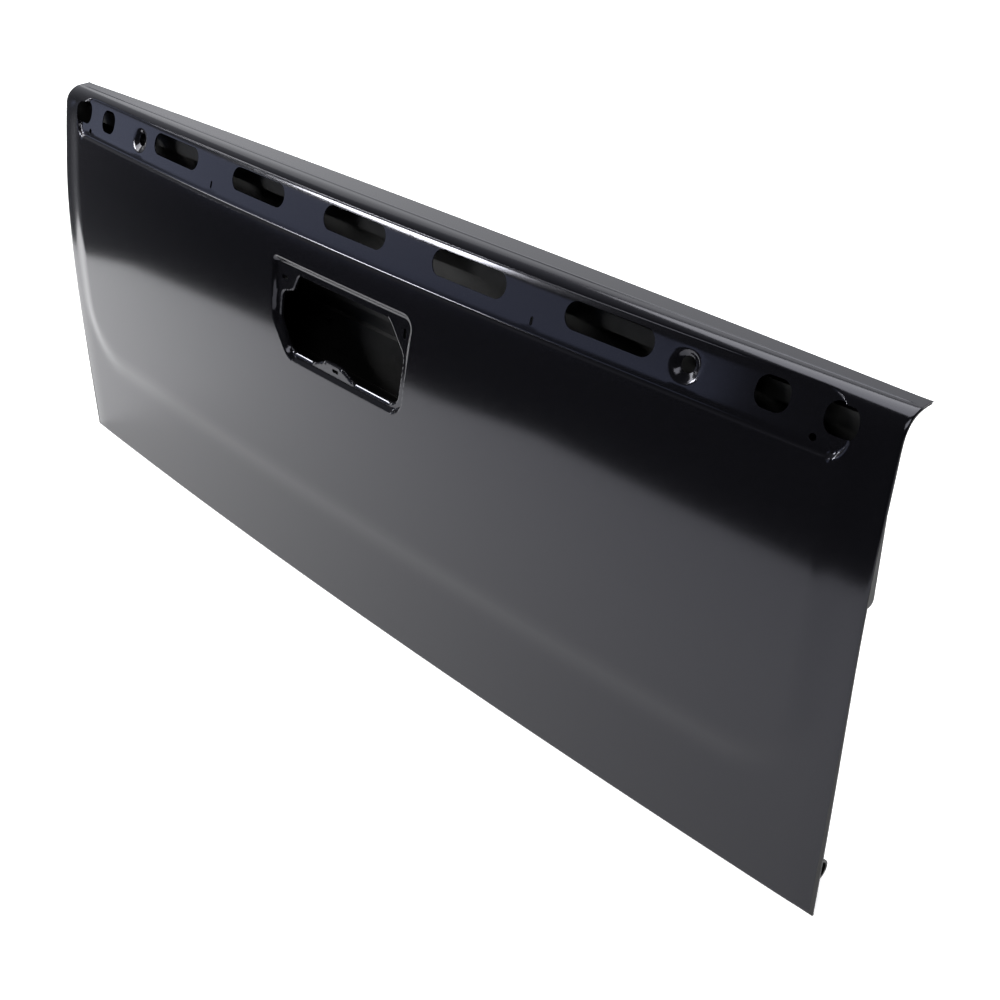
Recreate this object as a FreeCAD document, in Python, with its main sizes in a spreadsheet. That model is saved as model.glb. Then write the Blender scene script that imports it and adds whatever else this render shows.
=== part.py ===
import FreeCAD, Part
import Sketcher
import math
import os

doc = FreeCAD.newDocument("tailgate")
sheet = doc.addObject("Spreadsheet::Sheet", "Sizes")
vector = FreeCAD.Vector

# Driving dimensions in millimetres and degrees.
# X runs along the tailgate, +Y goes from the outer skin to the bed side, +Z is up.
# A drop is measured down from the end height, a margin inwards from the upper end.
SIZES = {
    "width_foot": 1580,
    "width_top": 1550,
    "end_height": 608,
    "shell_depth": 71,
    "top_rise": 6,
    "crown_foot": 17.5,
    "crown_top": 27,
    "belly": 2.3,
    "lean_top": 44,
    "lean_power": 5,
    "lean_drop": 48,
    "end_relief": 8.8,
    "end_relief_drop": 108,
    "end_bulge": 3.7,
    "nose_radius": 30,
    "ledge_slope": 3,
    "skin_wall": 1.2,
    "panel_wall": 1.2,
    "brace_wall": 1.5,
    "field_margin": 35,
    "field_foot": 168,
    "field_top_drop": 33,
    "field_corner": 95,
    "field_rise": 3.5,
    "field_draft": 45,
    "band_margin": 47,
    "band_foot_drop": 64,
    "band_top_reach": 4,
    "band_bend_drop": 52,
    "band_corner": 22,
    "band_floor": 1,
    "band_draft": 10,
    "slot_length": 124,
    "slot_height": 32,
    "slot_pitch_inner": 212,
    "slot_pitch_outer": 215,
    "slot_drop": 26,
    "band_tilt": 19.5,
    "dimple_margin": 243,
    "dimple_drop": 33,
    "dimple_diameter": 36,
    "dimple_hole": 18,
    "dimple_depth": 6,
    "round_hole": 38,
    "hole_inner_margin": 142,
    "hole_outer_margin": 65,
    "hole_drop": 29,
    "pin_hole": 8,
    "pin_hole_margin": 86,
    "pin_hole_drop": 52,
    "notch_place": 322,
    "notch_height": 10,
    "notch_width": 4,
    "notch_drop": 48,
    "ledge_slot_place": -86,
    "ledge_slot_length": 10,
    "ledge_slot_width": 4.5,
    "ledge_slot_setback": 24,
    "handle_left": -152,
    "handle_right": 138,
    "handle_drop": 100,
    "handle_height": 136,
    "handle_floor": 5,
    "handle_draft": 22,
    "handle_corner": 26,
    "mouth_edge_left": 9,
    "mouth_edge_right": 19,
    "mouth_edge_top": 16,
    "mouth_edge_foot": 7,
    "mouth_lip": 5,
    "mouth_corner": 22,
    "mouth_step_width": 30,
    "mouth_step_height": 24,
    "mouth_slant_width": 32,
    "mouth_slant_height": 41,
    "tab_place": -24,
    "tab_crest": 34,
    "tab_foot": 86,
    "tab_height": 12,
    "flange_slot_length": 13,
    "flange_slot_width": 5,
    "frame_margin": 14,
    "frame_setback": 7,
    "end_wall": 1.5,
    "end_inset": 38,
    "foot_wall_level": 6,
    "drain_length": 30,
    "drain_width": 10,
    "drain_pitch": 460,
    "bead_depth": 8,
    "bead_width": 34,
    "bead_pitch": 46,
    "bead_draft": 35,
    "bead_end_margin": 72,
    "bead_foot_level": 80,
    "bead_top_drop": 112,
    "side_bead_length": 190,
    "cover_depth": 4,
    "cover_width": 940,
    "cover_height": 232,
    "cover_level": 295,
    "cover_gap": 2,
    "cover_corner": 18,
    "cover_bead": 30,
    "cover_bead_margin": 90,
    "cover_bead_rise": 2.6,
    "cover_screw": 6,
    "cover_screw_edge": 12,
    "access_width": 880,
    "access_height": 172,
    "access_corner": 30,
    "pad_drop": 116,
    "pad_tall": 107,
    "pad_front": 18,
    "pad_depth": 34,
    "pad_height": 22,
    "pad_corner": 8,
    "latch_slot": 12,
    "latch_slot_tall": 46,
    "hinge_front": 9,
    "hinge_depth": 50,
    "hinge_foot": 12,
    "hinge_tall": 56,
    "hinge_plate": 3,
    "hinge_corner": 9,
    "cup_depth_place": 30,
    "cup_level": 35,
    "cup_diameter": 28,
    "cup_bore": 22,
    "cup_length": 19,
    "cable_level": 320,
    "cable_depth": 40,
    "cable_plate_width": 44,
    "cable_plate_tall": 64,
    "cable_plate": 3,
    "cable_hole": 11,
    "stiffener_inner": 250,
    "stiffener_outer": 560,
    "stiffener_width": 44,
    "stiffener_flange": 16,
    "stiffener_slope": 6,
    "stiffener_foot": 60,
    "stiffener_top_drop": 138,
    "mastic_gap": 3,
    "rail_setback": 29,
    "rail_flange": 12,
    "rail_foot_drop": 61,
    "rail_tall": 56,
    "rail_slope": 6,
    "sill_leg": 40,
    "sill_end_gap": 70,
    "gusset_leg": 70,
    "gusset_depth": 45,
}


def cell_name(index):
    return "A%d" % (index + 1)


for row, (alias, amount) in enumerate(SIZES.items()):
    sheet.set(cell_name(row), str(amount))
    sheet.setAlias(cell_name(row), alias)
doc.recompute()


def dim(alias):
    return float(sheet.get(alias))


def from_top(alias):
    return dim("end_height") - dim(alias)


def from_end(alias):
    return dim("width_top") / 2 - dim(alias)


WALL = dim("skin_wall")
BED = dim("shell_depth")
PANEL_FACE = BED - dim("panel_wall")
HALF_FOOT = dim("width_foot") / 2
# Solids that only cut or bound others run past the tailgate by these lengths.
PAST_DEPTH = BED * 2
PAST_WIDTH = max(dim("width_foot"), dim("width_top")) / 2 + BED
PAST_HEIGHT = dim("end_height") + BED


# The outer surface: a leaning, crowned section that turns over a nose to a ledge.
def fade(place):
    """One at mid-length, zero at the ends."""
    return 1 - (place / HALF_FOOT) ** 2


def crown(place, level):
    share = level / dim("end_height")
    return (dim("crown_foot") + (dim("crown_top") - dim("crown_foot")) * share) * fade(place)


def relief(place, level):
    """How far the upper ends stand in front of the plain leaning surface."""
    share = max(level - from_top("end_relief_drop"), 0) / dim("end_relief_drop")
    return dim("end_relief") * share ** 1.5 * (1 - fade(place))


def skin_depth(place, level):
    lean = dim("lean_top") * (level / dim("end_height")) ** dim("lean_power")
    return lean - dim("belly") - crown(place, level) - relief(place, level)


def lean_points(place):
    steps = 7
    top = from_top("lean_drop")
    levels = [top * step / steps for step in range(steps + 1)]
    return [vector(place, skin_depth(place, level), level) for level in levels]


def nose_points(start, climb, ledge, rear):
    """Points of the arc that joins the climbing skin to the ledge through rear."""
    across = ledge.y * climb.z - ledge.z * climb.y
    gap = rear - start
    corner = start + climb * ((ledge.y * gap.z - ledge.z * gap.y) / across)
    turn = math.acos(climb.dot(ledge))
    radius = dim("nose_radius")
    arc_start = corner - climb * (radius * math.tan(turn / 2))
    inward = vector(0, climb.z, -climb.y)
    centre = arc_start + inward * radius
    steps = 4
    angles = [turn * step / steps for step in range(steps + 1)]
    return [centre - inward * (radius * math.cos(a)) + climb * (radius * math.sin(a)) for a in angles]


def section_wire(place):
    """Closed section of the solid behind the skin, in the plane X = place."""
    points = lean_points(place)
    start = points[-1]
    nudge = 1.0
    above = vector(place, skin_depth(place, start.z + nudge), start.z + nudge)
    climb = (above - start).normalize()
    slope = math.radians(dim("ledge_slope"))
    ledge = vector(0, math.cos(slope), math.sin(slope))
    rear = vector(place, BED, dim("end_height") + dim("top_rise") * fade(place))
    points += nose_points(start, climb, ledge, rear)
    points += [rear, rear + ledge * BED, rear + ledge * PAST_DEPTH]
    curve = Part.BSplineCurve()
    curve.interpolate(points)
    low_rear = vector(place, points[-1].y, 0)
    edges = [curve.toShape(), Part.makeLine(points[-1], low_rear), Part.makeLine(low_rear, points[0])]
    return Part.Wire(edges)


def floor_wire(place):
    """Closed section of the solid behind the band floor, which leaves the skin in a straight line."""
    steps = 7
    top = from_top("band_bend_drop")
    levels = [top * step / steps for step in range(steps + 1)]
    points = [vector(place, skin_depth(place, level), level) for level in levels]
    bend = points[-1]
    high = vector(place, bend.y + BED * math.tan(math.radians(dim("band_tilt"))), bend.z + BED)
    curve = Part.BSplineCurve()
    curve.interpolate(points)
    high_rear = vector(place, PAST_DEPTH, high.z)
    low_rear = vector(place, PAST_DEPTH, 0)
    corners = [bend, high, high_rear, low_rear, points[0]]
    lines = [Part.makeLine(corners[index], corners[index + 1]) for index in range(len(corners) - 1)]
    return Part.Wire([curve.toShape()] + lines)


def lengthwise(wire_at):
    """Solid through five sections of the tailgate."""
    quarters = (-1, -0.5, 0, 0.5, 1)
    return Part.makeLoft([wire_at(PAST_WIDTH * share) for share in quarters], True)


# Outlines are lists of corners (x, z, radius), counter-clockwise seen from outside.
def grown(corners, amount):
    """The same outline with each side moved outwards by amount."""
    count = len(corners)
    moved = []
    for index, (x, z, radius) in enumerate(corners):
        before = corners[index - 1]
        after = corners[(index + 1) % count]
        first = vector(x - before[0], 0, z - before[1]).normalize()
        second = vector(after[0] - x, 0, after[1] - z).normalize()
        first_out = vector(first.z, 0, -first.x)
        second_out = vector(second.z, 0, -second.x)
        bisector = (first_out + second_out).normalize()
        reach = amount / bisector.dot(first_out)
        convex = first.x * second.z - first.z * second.x > 0
        new_radius = radius + amount if convex else radius - amount
        moved.append((x + bisector.x * reach, z + bisector.z * reach, max(new_radius, 0.5)))
    return moved


def outline_wire(corners, depth):
    """Rounded outline in the plane Y = depth."""
    count = len(corners)
    edges = []
    arcs = []
    for index, (x, z, radius) in enumerate(corners):
        corner = vector(x, depth, z)
        before = corners[index - 1]
        after = corners[(index + 1) % count]
        to_before = (vector(before[0], depth, before[1]) - corner).normalize()
        to_after = (vector(after[0], depth, after[1]) - corner).normalize()
        half_angle = to_before.getAngle(to_after) / 2
        tangent = radius / math.tan(half_angle)
        bisector = (to_before + to_after).normalize()
        middle = corner + bisector * (radius / math.sin(half_angle) - radius)
        arcs.append((corner + to_before * tangent, middle, corner + to_after * tangent))
    for index, (begin, middle, end) in enumerate(arcs):
        edges.append(Part.Arc(begin, middle, end).toShape())
        edges.append(Part.makeLine(end, arcs[(index + 1) % count][0]))
    return Part.Wire(edges)


def drafted_prism(corners, level_depth, draft, front, back):
    """Prism from Y = front to Y = back, true at level_depth, wider towards +Y for a positive draft."""
    slope = math.tan(math.radians(draft))
    wires = []
    for depth in (front, back):
        wires.append(outline_wire(grown(corners, (depth - level_depth) * slope), depth))
    return Part.makeLoft(wires, True, True)


def straight_prism(corners, front, back):
    return Part.Face(outline_wire(corners, front)).extrude(vector(0, back - front, 0))


def rectangle(low_x, high_x, low_z, high_z, radius):
    return [(low_x, low_z, radius), (high_x, low_z, radius), (high_x, high_z, radius), (low_x, high_z, radius)]


def centred(x, z, width, tall, radius):
    return rectangle(x - width / 2, x + width / 2, z - tall / 2, z + tall / 2, radius)


def field_outline():
    foot = (from_end("field_margin"), dim("field_foot"), dim("field_corner"))
    top = (from_end("field_margin"), from_top("field_top_drop"), dim("band_corner"))
    return [(-foot[0], foot[1], foot[2]), foot, top, (-top[0], top[1], top[2])]


def band_outline():
    half = from_end("band_margin")
    top = dim("end_height") + dim("band_top_reach")
    return rectangle(-half, half, from_top("band_foot_drop"), top, dim("band_corner"))


def handle_outline():
    """Recess round the handle: upright at the left, leaning in at the right, cut off below left."""
    left = dim("handle_left")
    right = dim("handle_right")
    top = from_top("handle_drop")
    foot = top - dim("handle_height")
    corner = dim("handle_corner")
    return [
        (left + corner * 1.3, foot, corner),
        (right - corner * 0.65, foot, corner),
        (right, top, corner * 0.65),
        (left, top, corner * 0.3),
        (left, foot + corner * 2, corner * 1.7),
    ]


def mouth_outline():
    """Opening in the recess floor, with a step, a slanted corner and a tab at its foot."""
    left = dim("handle_left") + dim("mouth_edge_left")
    right = dim("handle_right") - dim("mouth_edge_right")
    top = from_top("handle_drop") - dim("mouth_edge_top")
    foot = from_top("handle_drop") - dim("handle_height") + dim("mouth_edge_foot")
    corner = dim("mouth_corner")
    small = corner / 2
    step_x = left + dim("mouth_step_width")
    step_z = top - dim("mouth_step_height")
    crest = foot + dim("tab_height")
    return [
        (left + corner, foot, corner),
        (dim("tab_place") - dim("tab_foot") / 2, foot, small),
        (dim("tab_place") - dim("tab_crest") / 2, crest, small),
        (dim("tab_place") + dim("tab_crest") / 2, crest, small),
        (dim("tab_place") + dim("tab_foot") / 2, foot, small),
        (right - small, foot, corner),
        (right, top - dim("mouth_slant_height"), small),
        (right - dim("mouth_slant_width"), top, small),
        (step_x + small, top, small * 0.8),
        (step_x, step_z, small),
        (left + small * 0.4, step_z - small * 0.7, small),
        (left, foot + corner * 2, corner),
    ]


FIELD = field_outline()
BAND = band_outline()
HANDLE = handle_outline()
MOUTH = mouth_outline()
HANDLE_LEVEL = skin_depth(0, from_top("handle_drop") - dim("handle_height"))
FRONT = HANDLE_LEVEL - BED / 2
MIDDLE = BED / 2


def pocket(corners, draft, level_depth, inset, bottom):
    """Recess down to the bottom solid; inset gives its inner side."""
    return drafted_prism(grown(corners, inset), level_depth, -draft, FRONT, MIDDLE).cut(bottom)


def band_depth(place, level):
    """Depth of the straight band floor, before it is sunk."""
    bend = from_top("band_bend_drop")
    above = max(level - bend, 0)
    return skin_depth(place, min(level, bend)) + above * math.tan(math.radians(dim("band_tilt")))


def on_band(shape, place, level):
    """Leans a shape made round the Y axis with the band, and puts its origin on the band."""
    shape.rotate(vector(0, 0, 0), vector(1, 0, 0), -dim("band_tilt"))
    shape.translate(vector(place, band_depth(place, level), level))
    return shape


def dimple_cone(side, inset):
    """Void of a conical screw seat, wide end out in the open."""
    outer = dim("dimple_diameter") / 2
    inner = dim("dimple_hole") / 2
    depth = dim("dimple_depth")
    widening = (outer - inner) / depth
    front = dim("band_floor") + inset - depth
    mouth_radius = outer + widening * depth
    cone = Part.makeCone(mouth_radius, inner, depth * 2, vector(0, front, 0), vector(0, 1, 0))
    return on_band(cone, side * from_end("dimple_margin"), from_top("dimple_drop"))


def formed_block(inset):
    """The solid behind the pressed skin, or behind its inner side when inset is the wall."""
    field_level = HANDLE_LEVEL / 2
    raised = BASE.translated(vector(0, inset - dim("field_rise"), -inset))
    field = drafted_prism(grown(FIELD, -inset), field_level, dim("field_draft"), FRONT * 2, PAST_DEPTH)
    block = BASE.translated(vector(0, inset, -inset)).fuse(raised.common(field))
    band_floor = FLOOR.translated(vector(0, inset + dim("band_floor"), 0))
    handle_floor = BASE.translated(vector(0, inset + dim("handle_floor"), 0))
    voids = [
        pocket(BAND, dim("band_draft"), 0, inset, band_floor),
        pocket(HANDLE, dim("handle_draft"), HANDLE_LEVEL, inset, handle_floor),
        pocket(MOUTH, 0, HANDLE_LEVEL, inset, handle_floor.translated(vector(0, dim("mouth_lip"), 0))),
        dimple_cone(-1, inset),
        dimple_cone(1, inset),
    ]
    return block.cut(voids)


def end_trim(gap):
    """Everything between the two sloping ends, in front of the bed side and above the floor."""
    foot = HALF_FOOT - gap
    top = foot - (HALF_FOOT - dim("width_top") / 2) * PAST_HEIGHT / dim("end_height")
    corners = [(-foot, 0), (foot, 0), (top, PAST_HEIGHT), (-top, PAST_HEIGHT)]
    points = [vector(x, BED, z) for x, z in corners]
    face = Part.Face(Part.makePolygon(points + points[:1]))
    return face.extrude(vector(0, -PAST_DEPTH, 0))


def curved_ends():
    """Everything between the two ends of the skin, which bulge a little from foot to top."""
    low = PAST_HEIGHT * -0.5
    outer = []
    for level in (low, dim("end_height") / 2, PAST_HEIGHT):
        share = level / dim("end_height")
        bulge = dim("end_bulge") * 4 * share * (1 - share)
        outer.append(HALF_FOOT - (HALF_FOOT - dim("width_top") / 2) * share + bulge)
    foot, middle, top = [vector(x, BED, z) for x, z in zip(outer, (low, dim("end_height") / 2, PAST_HEIGHT))]
    right = Part.Arc(foot, middle, top).toShape()
    mirrored = [vector(-point.x, point.y, point.z) for point in (top, middle, foot)]
    left = Part.Arc(*mirrored).toShape()
    across = [Part.makeLine(top, mirrored[0]), Part.makeLine(mirrored[2], foot)]
    face = Part.Face(Part.Wire([right, across[0], left, across[1]]))
    block = face.extrude(vector(0, -PAST_DEPTH, 0))
    above_floor = Part.makeBox(PAST_WIDTH * 2, PAST_DEPTH * 2, PAST_HEIGHT, vector(-PAST_WIDTH, -PAST_DEPTH, 0))
    return block.common(above_floor)


def end_slope():
    return math.degrees(math.atan((HALF_FOOT - dim("width_top") / 2) / dim("end_height")))


def end_place(level):
    return HALF_FOOT - level * math.tan(math.radians(end_slope()))


def end_placement(side, depth, level, inset):
    """Placement on the sloping end, with local X square to it."""
    turn = FreeCAD.Rotation(vector(0, 1, 0), -side * end_slope())
    out = turn.multVec(vector(side, 0, 0))
    place = vector(side * end_place(level), depth, level) - out * inset
    return FreeCAD.Placement(place, turn)


def band_cutter(place, level, width, tall):
    """Through cutter square to the leaning band: round, or a slot with round ends."""
    reach = BED / 4
    narrow = min(width, tall) / 2
    if width == tall:
        tool = Part.makeCylinder(narrow, reach * 2, vector(0, -reach, 0), vector(0, 1, 0))
    else:
        almost_round = narrow * 0.999
        tool = straight_prism(centred(0, 0, width, tall, almost_round), -reach, reach)
    return on_band(tool, place, level)


def slot_places():
    outer = dim("slot_pitch_inner") + dim("slot_pitch_outer")
    return [-outer, -dim("slot_pitch_inner"), 0, dim("slot_pitch_inner"), outer]


def band_cutters():
    tools = []
    for place in slot_places():
        tools.append(band_cutter(place, from_top("slot_drop"), dim("slot_length"), dim("slot_height")))
    round_holes = [
        ("hole_inner_margin", "hole_drop", "round_hole"),
        ("hole_outer_margin", "hole_drop", "round_hole"),
        ("pin_hole_margin", "pin_hole_drop", "pin_hole"),
        ("dimple_margin", "dimple_drop", "dimple_hole"),
    ]
    for side in (-1, 1):
        for margin, drop, width in round_holes:
            tools.append(band_cutter(side * from_end(margin), from_top(drop), dim(width), dim(width)))
        notch = (dim("notch_width"), dim("notch_height"))
        tools.append(band_cutter(side * dim("notch_place"), from_top("notch_drop"), *notch))
    return tools


def flange_slots():
    """Three small slots in the handle flange: upper left, in the tab, and upright at the right."""
    long_side = dim("flange_slot_length")
    short_side = dim("flange_slot_width")
    corner = short_side / 4
    top = from_top("handle_drop")
    foot = top - dim("handle_height")
    left_x = dim("handle_left") + long_side * 1.5
    right_x = dim("handle_right") - dim("mouth_edge_right")
    slots = [
        centred(left_x, top - long_side * 2, long_side, short_side, corner),
        centred(dim("tab_place") + short_side, foot + dim("tab_height"), long_side, short_side, corner),
        centred(right_x, top - long_side * 2, short_side, long_side, corner),
    ]
    return [straight_prism(slot, FRONT, MIDDLE) for slot in slots]


def ledge_slot():
    length = dim("ledge_slot_length")
    width = dim("ledge_slot_width")
    depth = BED - dim("ledge_slot_setback")
    base = dim("end_height") - BED / 4
    box = Part.makeBox(length, width, BED / 2, vector(dim("ledge_slot_place") - length / 2, depth, base))
    return box


def outer_skin():
    tools = [formed_block(WALL), straight_prism(MOUTH, FRONT, MIDDLE), ledge_slot()]
    solid = formed_block(0).cut(tools + band_cutters() + flange_slots())
    return solid.common(ENDS)


def half_space(side):
    box = Part.makeBox(PAST_WIDTH, PAST_DEPTH * 2, PAST_HEIGHT, vector(0, -PAST_DEPTH, 0))
    if side < 0:
        box.translate(vector(-PAST_WIDTH, 0, 0))
    return box


def along_end(side, depth, level, solid):
    """Moves a solid made round the local X axis to a place on one end wall."""
    solid.Placement = end_placement(side, depth, level, dim("end_inset")).multiply(solid.Placement)
    return solid


def end_wall(side):
    """Wall set in from one end, with a flange against the skin, a latch opening and a cable bolt hole."""
    outward = dim("end_inset")
    core = end_trim(outward + dim("end_wall"))
    slab = INSIDE.common(end_trim(outward)).cut(core)
    lap = INSIDE.cut([BASE.translated(vector(0, WALL + dim("end_wall"), -WALL - dim("end_wall"))), core])
    slab = slab.fuse(lap).common(half_space(side))
    reach = BED / 4
    bolt = Part.makeCylinder(dim("cable_hole") / 2, reach * 2, vector(-reach, 0, 0), vector(1, 0, 0))
    wide = dim("latch_slot") + dim("end_wall") * 2
    tall = dim("latch_slot_tall") + dim("end_wall") * 2
    latch = Part.makeBox(reach * 2, wide, tall, vector(-reach, -wide / 2, -tall / 2))
    middle = dim("pad_front") + dim("pad_depth") / 2
    level = from_top("pad_drop") - dim("pad_tall") / 2
    tools = [
        along_end(side, dim("cable_depth"), dim("cable_level"), bolt),
        along_end(side, middle, level, latch),
    ]
    return slab.cut(tools)


def bead_outlines():
    """Long beads above and below the cover, short ones beside it."""
    half = from_end("bead_end_margin")
    tall = dim("bead_width")
    corner = tall * 0.45
    pitch = dim("bead_pitch")
    outlines = []
    for level in (dim("bead_foot_level"), from_top("bead_top_drop") - pitch):
        for step in (0, 1):
            outlines.append(centred(0, level + step * pitch, half * 2, tall, corner))
    middle = half - dim("side_bead_length") / 2
    for side in (-1, 1):
        for step in (-1, 0, 1):
            level = dim("cover_level") + step * pitch * 1.5
            outlines.append(centred(side * middle, level, dim("side_bead_length"), tall, corner))
    return outlines


def cover_seat():
    gap = dim("cover_gap")
    width = dim("cover_width") + gap * 2
    tall = dim("cover_height") + gap * 2
    return centred(0, dim("cover_level"), width, tall, dim("cover_corner") + gap)


def pressed_in(corners, depth, inset):
    """Void pressed into the bed-side face, or its skin-side shell when inset is the wall."""
    draft = dim("bead_draft")
    front = BED - depth - inset
    outline = grown(corners, inset)
    return drafted_prism(outline, BED - inset, draft, front, BED + inset)


def cover_screw_places():
    """Screw centres of the access cover, measured from its middle."""
    half_width = dim("cover_width") / 2 - dim("cover_screw_edge")
    half_tall = dim("cover_height") / 2 - dim("cover_screw_edge")
    places = [(-half_width, 0), (half_width, 0)]
    for share in (-0.9, -0.3, 0.3, 0.9):
        places += [(half_width * share, -half_tall), (half_width * share, half_tall)]
    return places


def inner_panel():
    """Bed-side sheet: beads and cover seat pressed towards the skin, access opening cut out."""
    plate = Part.makeBox(PAST_WIDTH * 2, dim("panel_wall"), PAST_HEIGHT, vector(-PAST_WIDTH, PANEL_FACE, 0))
    forms = [(outline, dim("bead_depth")) for outline in bead_outlines()]
    forms.append((cover_seat(), dim("cover_depth")))
    shells = [pressed_in(outline, depth, dim("panel_wall")) for outline, depth in forms]
    behind = Part.makeBox(PAST_WIDTH * 2, BED, PAST_HEIGHT, vector(-PAST_WIDTH, BED, 0))
    voids = [pressed_in(outline, depth, 0) for outline, depth in forms]
    access = centred(0, dim("cover_level"), dim("access_width"), dim("access_height"), dim("access_corner"))
    voids.append(straight_prism(access, MIDDLE, PAST_DEPTH))
    for x, z in cover_screw_places():
        start = vector(x, MIDDLE, dim("cover_level") + z)
        voids.append(Part.makeCylinder(dim("cover_screw") / 2, BED, start, vector(0, 1, 0)))
    panel = plate.fuse(shells).cut(voids + [behind])
    return panel.common(INSIDE).common(end_trim(dim("end_inset") + dim("end_wall")))


def foot_wall():
    level = dim("foot_wall_level")
    wall = dim("panel_wall")
    slab = Part.makeBox(PAST_WIDTH * 2, PANEL_FACE + BED, wall, vector(-PAST_WIDTH, -BED, level))
    length = dim("drain_length")
    width = dim("drain_width")
    drains = []
    for step in (-1.5, -0.5, 0.5, 1.5):
        corner = vector(step * dim("drain_pitch") - length / 2, BED / 4, 0)
        drains.append(Part.makeBox(length, width, level + wall * 2, corner))
    return slab.common(INSIDE).common(end_trim(dim("end_inset") + dim("end_wall"))).cut(drains)


def handle_frame():
    """Stiffening frame against the back of the recess floor, with the handle opening inside it."""
    start = dim("handle_floor") + WALL
    front = BASE.translated(vector(0, start, -WALL))
    plate = front.cut(BASE.translated(vector(0, start + dim("brace_wall"), -WALL)))
    plate = plate.common(straight_prism(grown(HANDLE, dim("frame_margin")), FRONT, MIDDLE))
    inside_edge = grown(MOUTH, dim("frame_setback"))
    return plate.cut([straight_prism(inside_edge, FRONT, MIDDLE)] + flange_slots())


BASE = lengthwise(section_wire)
FLOOR = lengthwise(floor_wire)
ENDS = curved_ends()
INSIDE = BASE.translated(vector(0, WALL, -WALL)).common(ENDS)
SKIN = outer_skin()
# The origin is under the middle of the tailgate, on the plane that its foot stands on.
SHIFT = vector(0, -(SKIN.optimalBoundingBox(True, False).YMin + BED) / 2, 0)
pieces = []


def formed(label, shape):
    """A piece whose shape follows the crowned surface."""
    feature = doc.addObject("Part::Feature", label)
    feature.Shape = shape
    feature.Label = label
    feature.Placement = FreeCAD.Placement(SHIFT, FreeCAD.Rotation())
    pieces.append(feature)


class Length:
    """A number with the expression that gives it."""

    def __init__(self, number, text):
        self.number = number
        self.text = text

    def __add__(self, other):
        return Length(self.number + other.number, "(%s + %s)" % (self.text, other.text))

    def __sub__(self, other):
        return Length(self.number - other.number, "(%s - %s)" % (self.text, other.text))

    def __mul__(self, factor):
        return Length(self.number * factor, "(%s * %r)" % (self.text, factor))

    def __neg__(self):
        return self * -1


ZERO = Length(0, "0")


def cell(alias):
    return Length(dim(alias), "Sizes." + alias)


derived_names = []


def derived(alias, amount):
    """Adds a cell for a length that the crowned or sloping surfaces give."""
    row = cell_name(len(SIZES) + len(derived_names))
    derived_names.append(alias)
    sheet.set(row, repr(amount))
    sheet.setAlias(row, alias)
    doc.recompute()
    return cell(alias)


def origin_plane(body, role):
    for feature in body.Origin.OriginFeatures:
        if feature.Role == role:
            return feature
    raise ValueError(role)


def new_body(label, placement):
    body = doc.addObject("PartDesign::Body", label)
    body.Label = label
    body.Placement = FreeCAD.Placement(placement.Base + SHIFT, placement.Rotation)
    pieces.append(body)
    return body


def at(x, y, z):
    return FreeCAD.Placement(vector(x, y, z), FreeCAD.Rotation())


def new_sketch(body, role, name):
    sketch = body.newObject("Sketcher::SketchObject", body.Name + "_" + name)
    sketch.AttachmentSupport = [(origin_plane(body, role), "")]
    sketch.MapMode = "FlatFace"
    return sketch


def bind(sketch, geometry, point, across, up):
    """Ties one point of the sketch to two lengths from the origin."""
    for kind, length in (("DistanceX", across), ("DistanceY", up)):
        index = sketch.addConstraint(Sketcher.Constraint(kind, -1, 1, geometry, point, length.number))
        sketch.setExpression("Constraints[%d]" % index, length.text)


def polygon(sketch, corners):
    """Closed outline of straight lines through bound corners."""
    points = [vector(x.number, y.number, 0) for x, y in corners]
    first = sketch.GeometryCount
    count = len(points)
    for index in range(count):
        sketch.addGeometry(Part.LineSegment(points[index], points[(index + 1) % count]), False)
    for index in range(count):
        after = first + (index + 1) % count
        sketch.addConstraint(Sketcher.Constraint("Coincident", first + index, 2, after, 1))
    for index, (x, y) in enumerate(corners):
        bind(sketch, first + index, 1, x, y)


def box_corners(half_width, half_tall, offset=ZERO):
    low = offset - half_tall
    high = offset + half_tall
    return [(-half_width, low), (half_width, low), (half_width, high), (-half_width, high)]


def circle(sketch, x, y, diameter):
    centre = vector(x.number, y.number, 0)
    index = sketch.addGeometry(Part.Circle(centre, vector(0, 0, 1), diameter.number / 2), False)
    bind(sketch, index, 3, x, y)
    row = sketch.addConstraint(Sketcher.Constraint("Diameter", index, diameter.number))
    sketch.setExpression("Constraints[%d]" % row, diameter.text)


def pad(body, sketch, length, reverse=False, both_ways=False):
    feature = body.newObject("PartDesign::Pad", sketch.Name + "_pad")
    feature.Profile = sketch
    feature.setExpression("Length", length.text)
    feature.Reversed = reverse
    feature.Midplane = both_ways
    return feature


def cut_out(body, sketch, length, reverse=False):
    feature = body.newObject("PartDesign::Pocket", sketch.Name + "_cut")
    feature.Profile = sketch
    feature.setExpression("Length", length.text)
    feature.Reversed = reverse


def edges_along(shape, direction, wanted=lambda edge: True):
    """Names of the straight edges that run along a direction."""
    names = []
    for index, edge in enumerate(shape.Edges):
        if len(edge.Vertexes) < 2 or edge.Curve.TypeId != "Part::GeomLine":
            continue
        if abs(abs(edge.Curve.Direction.dot(direction)) - 1) < 1e-6 and wanted(edge):
            names.append("Edge%d" % (index + 1))
    return names


def round_edges(body, feature, names, alias):
    doc.recompute()
    fillet = body.newObject("PartDesign::Fillet", feature.Name + "_round")
    fillet.Base = (feature, names)
    fillet.setExpression("Radius", "Sizes." + alias)
    doc.recompute()


def end_block(label, side, middle, level, inset, half_depth, half_tall, thickness, corner):
    """Plate with rounded corners on one end, its thickness standing outwards."""
    body = new_body(label, end_placement(side, middle, level, inset))
    outline = new_sketch(body, "YZ_Plane", "outline")
    polygon(outline, box_corners(half_depth, half_tall))
    plate = pad(body, outline, thickness, side < 0)
    doc.recompute()
    round_edges(body, plate, edges_along(plate.Shape, vector(1, 0, 0)), corner)
    return body


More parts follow.
